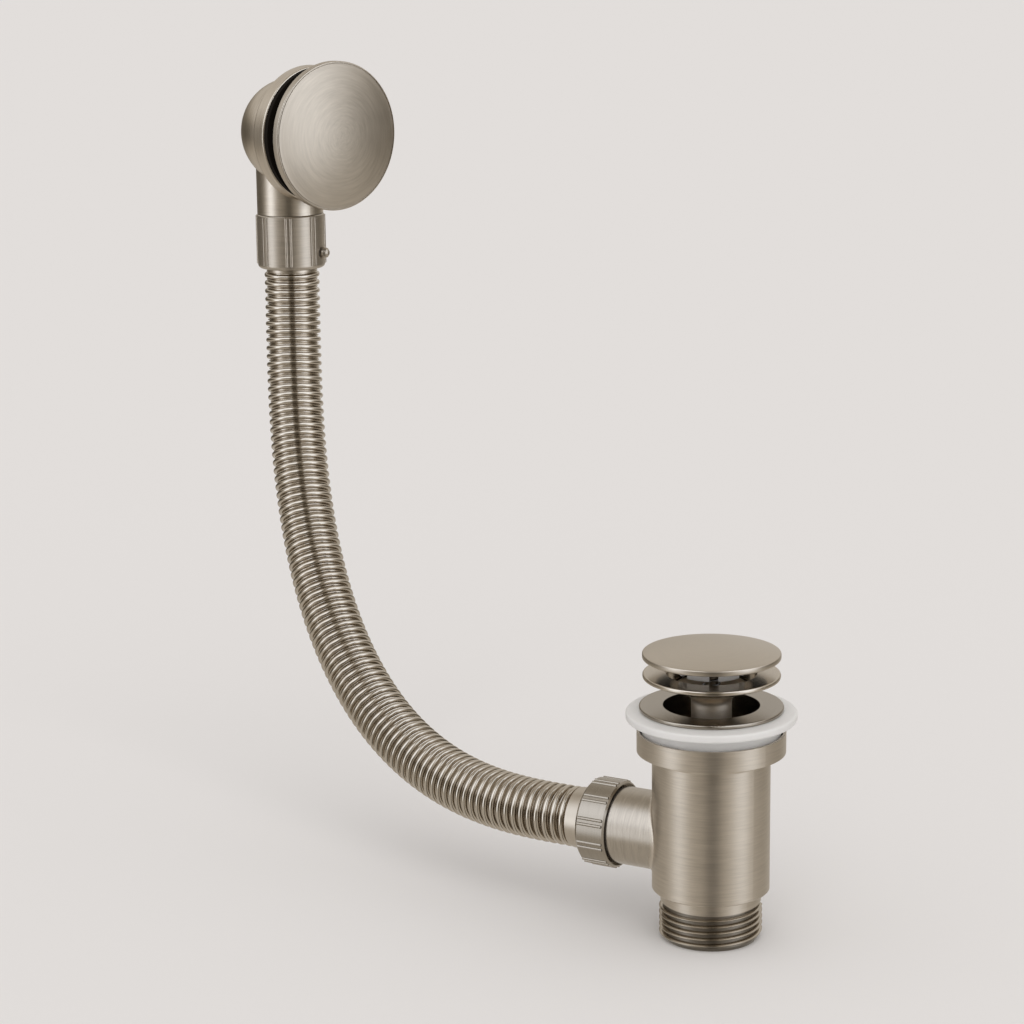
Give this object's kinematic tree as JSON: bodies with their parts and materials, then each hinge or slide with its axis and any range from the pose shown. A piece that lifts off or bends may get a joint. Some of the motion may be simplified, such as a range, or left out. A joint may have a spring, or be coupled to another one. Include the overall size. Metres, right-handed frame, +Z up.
{
  "type": "bath waste and overflow",
  "caption": "Bath waste with a raised click plug, white body seal and threaded tail, joined by a corrugated hose to a round overflow plate.",
  "frame": {"origin": "bottom centre of the waste's threaded tail, at the mouth of its outlet", "axes": "+Z up the waste's axis, towards the plug; +X the way the overflow plate faces, with the overflow behind the waste at -X"},
  "size_m": [0.3698, 0.0896, 0.3894],
  "materials": {
    "brushed_nickel": "brushed nickel, fine satin lines",
    "hose_nickel": "polished corrugated nickel",
    "white_seal": "translucent white soft plastic",
    "white_plastic": "white moulded plastic",
    "black_rubber": "matt black rubber",
    "black_plastic": "black moulded plastic",
    "spring_steel": "bright spring wire"
  },
  "bodies": {
    "fixed": {"waste_body": "brushed_nickel", "throat_ring": "brushed_nickel", "drain_flange": "brushed_nickel", "branch_nut": "brushed_nickel", "hose_lower_cuff": "brushed_nickel", "hose_upper_cuff": "brushed_nickel", "upper_collar": "brushed_nickel", "collar_stud": "brushed_nickel", "overflow_elbow": "brushed_nickel", "face_plate": "brushed_nickel", "corrugated_hose": "hose_nickel", "body_seal": "white_seal", "click_body": "white_plastic", "branch_seal": "black_rubber", "upper_seal": "black_rubber", "overflow_gasket": "black_rubber", "overflow_strainer": "black_plastic", "click_spring": "spring_steel", "grub_screw": "spring_steel"},
    "plug": {"plug_cap": "brushed_nickel", "plug_seal": "black_rubber", "plug_hub": "white_plastic", "plug_stem": "brushed_nickel", "latch_pin": "spring_steel"}
  },
  "joints": [
    {"name": "plug_click", "type": "slide", "parent": "fixed", "child": "plug", "axis": [0, 0, 1], "range_m": [-0.0055, 0], "stiffness_N_per_m": 400, "springref_m": 0.006, "deforming": ["click_spring"]}
  ]
}
